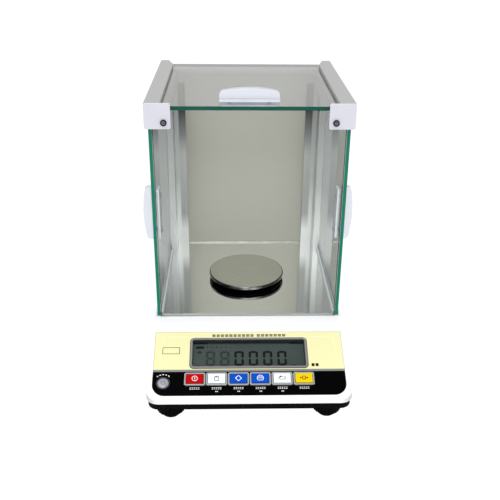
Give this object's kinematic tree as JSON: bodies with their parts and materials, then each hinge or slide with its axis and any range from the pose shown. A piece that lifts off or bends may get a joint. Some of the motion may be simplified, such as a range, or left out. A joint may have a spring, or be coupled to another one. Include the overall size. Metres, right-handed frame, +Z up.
{
  "type": "analytical balance",
  "caption": "Analytical balance with a round pan in a glass chamber with sliding side and top doors, on a base with a sloping keypad and display.",
  "frame": {"origin": "on the table under the middle of the base", "axes": "+X to the right as the user faces the display, +Y to the back, +Z up"},
  "size_m": [0.202, 0.28, 0.2925],
  "materials": {
    "black_plastic": "fine moulded black plastic",
    "white_plastic": "smooth white moulded plastic",
    "brass": "turned",
    "foot_rubber": "soft black rubber",
    "screw_steel": "plated screws",
    "cast_aluminium": "machined and cast, matt",
    "pan_steel": "finely brushed stainless steel",
    "board_green": "solder mask",
    "connector_steel": "tinned shell",
    "switch_black": "small moulded switches",
    "lcd_grey": "grey-green liquid crystal display",
    "display_clear": "clear window",
    "bezel_grey": "mid grey",
    "panel_print": "printed film, cream above and black below",
    "key_frame_silver": "silver-grey",
    "key_red": "red",
    "key_white": "white",
    "key_blue": "blue",
    "key_yellow": "yellow",
    "level_grey": "grey cup",
    "level_fluid": "pale fluid under a clear lens",
    "floor_steel": "polished stainless sheet",
    "post_aluminium": "brushed, clear anodised",
    "rear_sheet": "satin grey-beige sheet",
    "rail_paint": "pale grey satin paint",
    "cap_plastic": "white",
    "clear_glass": "clear float glass with green cut edges",
    "handle_plastic": "white"
  },
  "bodies": {
    "root": {"bottom_tray": "black_plastic", "upper_shell": "white_plastic", "foot_nuts": "brass", "rear_feet": "foot_rubber", "case_screws": "screw_steel", "sub_chassis": "cast_aluminium", "load_cell": "cast_aluminium", "overload_stops": "screw_steel", "main_board": "board_green", "power_inlet": "black_plastic", "serial_port": "connector_steel", "display_board": "board_green", "key_switches": "switch_black", "lcd_module": "lcd_grey", "display_window": "display_clear", "display_bezel": "bezel_grey", "panel_overlay": "panel_print", "key_frames": "key_frame_silver", "level_cup": "level_grey", "level_lens": "level_fluid", "chamber_floor": "floor_steel", "rear_sill": "post_aluminium", "left_lower_rail": "post_aluminium", "right_lower_rail": "post_aluminium", "left_rear_post": "post_aluminium", "right_rear_post": "post_aluminium", "rear_panel": "rear_sheet", "rear_top_bar": "rail_paint", "left_top_rail": "rail_paint", "right_top_rail": "rail_paint", "left_end_cap": "cap_plastic", "right_end_cap": "cap_plastic", "cap_screws": "screw_steel", "front_glass": "clear_glass"},
    "left_door": {"left_door_glass": "clear_glass", "left_door_handle": "handle_plastic", "left_door_backing": "handle_plastic", "left_door_screws": "screw_steel"},
    "right_door": {"right_door_glass": "clear_glass", "right_door_handle": "handle_plastic", "right_door_backing": "handle_plastic", "right_door_screws": "screw_steel"},
    "top_door": {"top_door_glass": "clear_glass", "top_door_handle": "handle_plastic", "top_door_backing": "handle_plastic", "top_door_screws": "screw_steel"},
    "carrier": {"load_bracket": "cast_aluminium"},
    "pan": {"pan_support": "black_plastic", "weighing_pan": "pan_steel"},
    "left_foot": {"left_foot_pad": "foot_rubber"},
    "right_foot": {"right_foot_pad": "foot_rubber"},
    "left_wheel": {"left_foot_wheel": "black_plastic"},
    "right_wheel": {"right_foot_wheel": "black_plastic"},
    "power_key_cap": {"power_key": "key_red"},
    "calibrate_key_cap": {"calibrate_key": "key_white"},
    "mode_key_cap": {"mode_key": "key_blue"},
    "print_key_cap": {"print_key": "key_blue"},
    "unit_key_cap": {"unit_key": "key_white"},
    "tare_key_cap": {"tare_key": "key_yellow"}
  },
  "joints": [
    {"name": "left_door_slide", "type": "slide", "parent": "root", "child": "left_door", "axis": [0, 1, 0], "range_m": [0, 0.111]},
    {"name": "right_door_slide", "type": "slide", "parent": "root", "child": "right_door", "axis": [0, 1, 0], "range_m": [0, 0.111]},
    {"name": "top_door_slide", "type": "slide", "parent": "root", "child": "top_door", "axis": [0, 1, 0], "range_m": [0, 0.14]},
    {"name": "carrier_sag", "type": "slide", "parent": "root", "child": "carrier", "axis": [0, 0, -1], "range_m": [0, 0.0004], "stiffness_N_per_m": 9800, "springref_m": -0.0004},
    {"name": "pan_lift", "type": "slide", "parent": "carrier", "child": "pan", "axis": [0, 0, 1], "range_m": [0, 0.1]},
    {"name": "power_key_press", "type": "slide", "parent": "root", "child": "power_key_cap", "axis": [0, 0.3972, -0.9177], "range_m": [0, 0.0008], "stiffness_N_per_m": 1500, "springref_m": -0.0003},
    {"name": "calibrate_key_press", "type": "slide", "parent": "root", "child": "calibrate_key_cap", "axis": [0, 0.3972, -0.9177], "range_m": [0, 0.0008], "stiffness_N_per_m": 1500, "springref_m": -0.0003},
    {"name": "mode_key_press", "type": "slide", "parent": "root", "child": "mode_key_cap", "axis": [0, 0.3972, -0.9177], "range_m": [0, 0.0008], "stiffness_N_per_m": 1500, "springref_m": -0.0003},
    {"name": "print_key_press", "type": "slide", "parent": "root", "child": "print_key_cap", "axis": [0, 0.3972, -0.9177], "range_m": [0, 0.0008], "stiffness_N_per_m": 1500, "springref_m": -0.0003},
    {"name": "unit_key_press", "type": "slide", "parent": "root", "child": "unit_key_cap", "axis": [0, 0.3972, -0.9177], "range_m": [0, 0.0008], "stiffness_N_per_m": 1500, "springref_m": -0.0003},
    {"name": "tare_key_press", "type": "slide", "parent": "root", "child": "tare_key_cap", "axis": [0, 0.3972, -0.9177], "range_m": [0, 0.0008], "stiffness_N_per_m": 1500, "springref_m": -0.0003},
    {"name": "left_foot_drop", "type": "slide", "parent": "root", "child": "left_foot", "axis": [0, 0, -1], "range_m": [0, 0.006]},
    {"name": "left_wheel_turn", "type": "hinge", "parent": "left_foot", "child": "left_wheel", "pos_m": [-0.074, -0.115, 0.01], "axis": [0, 0, -1], "range_deg": [0, 2160]},
    {"name": "right_foot_drop", "type": "slide", "parent": "root", "child": "right_foot", "axis": [0, 0, -1], "range_m": [0, 0.006]},
    {"name": "right_wheel_turn", "type": "hinge", "parent": "right_foot", "child": "right_wheel", "pos_m": [0.074, -0.115, 0.01], "axis": [0, 0, -1], "range_deg": [0, 2160]}
  ],
  "couplings": [
    {"joint": "left_foot_drop", "follows": "left_wheel_turn", "m_per_rad": 0.00015915},
    {"joint": "right_foot_drop", "follows": "right_wheel_turn", "m_per_rad": 0.00015915}
  ]
}
